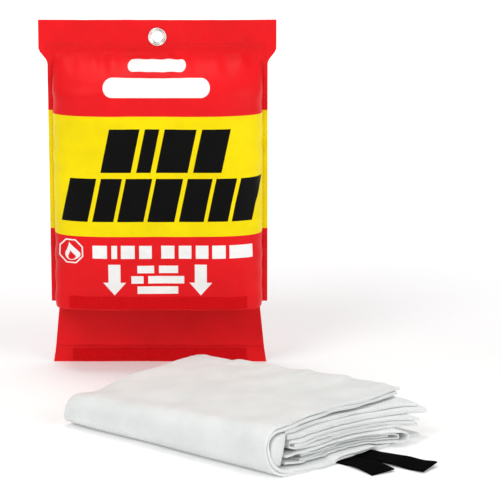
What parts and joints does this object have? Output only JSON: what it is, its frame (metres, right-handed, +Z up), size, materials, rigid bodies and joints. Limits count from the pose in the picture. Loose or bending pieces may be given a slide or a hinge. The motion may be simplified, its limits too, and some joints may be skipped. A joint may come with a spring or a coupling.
{
  "type": "fire blanket",
  "caption": "Folded woven glass-fibre fire blanket with pull tabs, lying in front of its flat hanging pouch with an eyelet, a deep front panel and a closing flap.",
  "frame": {"origin": "middle of the folded blanket's underside, on the floor", "axes": "+Z up; +Y from the front towards the back, so the pouch's front faces -Y; +X to the right. The blanket's nose fold is turned 40 degrees clockwise from +X, seen from above."},
  "size_m": [0.3138, 0.3238, 0.2937],
  "materials": {
    "glass_cloth": "woven, soft matt",
    "white_thread": "matt thread",
    "black_webbing": "woven webbing",
    "black_thread": "thread",
    "red_sheet": "coated polyester, printed with a yellow band, satin",
    "red_tape": "hook and loop, matt",
    "red_thread": "matt thread",
    "nickel": "nickel plate, satin"
  },
  "bodies": {
    "pouch": {"pouch_back_panel": "red_sheet", "pouch_front_panel": "red_sheet", "front_loop_tape": "red_tape", "left_seam_thread": "red_thread", "right_seam_thread": "red_thread", "header_thread": "red_thread", "hanging_eyelet": "nickel", "eyelet_washer": "nickel"},
    "flap": {"closing_flap": "red_sheet"},
    "lip": {"flap_lip": "red_sheet", "lip_hook_tape": "red_tape"},
    "blanket_base": {"lower_outer_wrap": "glass_cloth", "nose_fold": "glass_cloth", "inner_fold_1": "glass_cloth", "inner_fold_2": "glass_cloth", "front_tab_sewn_tail": "black_webbing", "rear_tab_sewn_tail": "black_webbing", "front_tab_box_stitch": "black_thread", "rear_tab_box_stitch": "black_thread"},
    "blanket_top_leaf": {"upper_outer_wrap": "glass_cloth", "inner_fold_3": "glass_cloth", "inner_fold_4": "glass_cloth", "hem_thread": "white_thread"},
    "front_tab": {"front_pull_tab": "black_webbing"},
    "rear_tab": {"rear_pull_tab": "black_webbing"}
  },
  "joints": [
    {"name": "flap_hinge", "type": "hinge", "parent": "pouch", "child": "flap", "pos_m": [-0.062, 0.195, 0.05355], "axis": [-1, 0, 0], "range_deg": [0, 90]},
    {"name": "lip_fold", "type": "hinge", "parent": "flap", "child": "lip", "pos_m": [-0.062, 0.195, 0.01365], "axis": [-1, 0, 0], "range_deg": [0, 90]},
    {"name": "blanket_slide", "type": "slide", "parent": "pouch", "child": "blanket_base", "axis": [0, -1, 0], "range_m": [0, 0.25]},
    {"name": "leaf_hinge", "type": "hinge", "parent": "blanket_base", "child": "blanket_top_leaf", "pos_m": [-0.05142, -0.06128, 0.0155], "axis": [0.7657, -0.6425, 0.0298], "range_deg": [0, 180]},
    {"name": "front_tab_lift", "type": "hinge", "parent": "blanket_base", "child": "front_tab", "pos_m": [0.09028, -0.08555, 0.0014], "axis": [-0.6428, -0.766, 0], "range_deg": [0, 70]},
    {"name": "rear_tab_lift", "type": "hinge", "parent": "blanket_base", "child": "rear_tab", "pos_m": [0.10378, -0.06946, 0.0014], "axis": [-0.6428, -0.766, 0], "range_deg": [0, 70]}
  ]
}
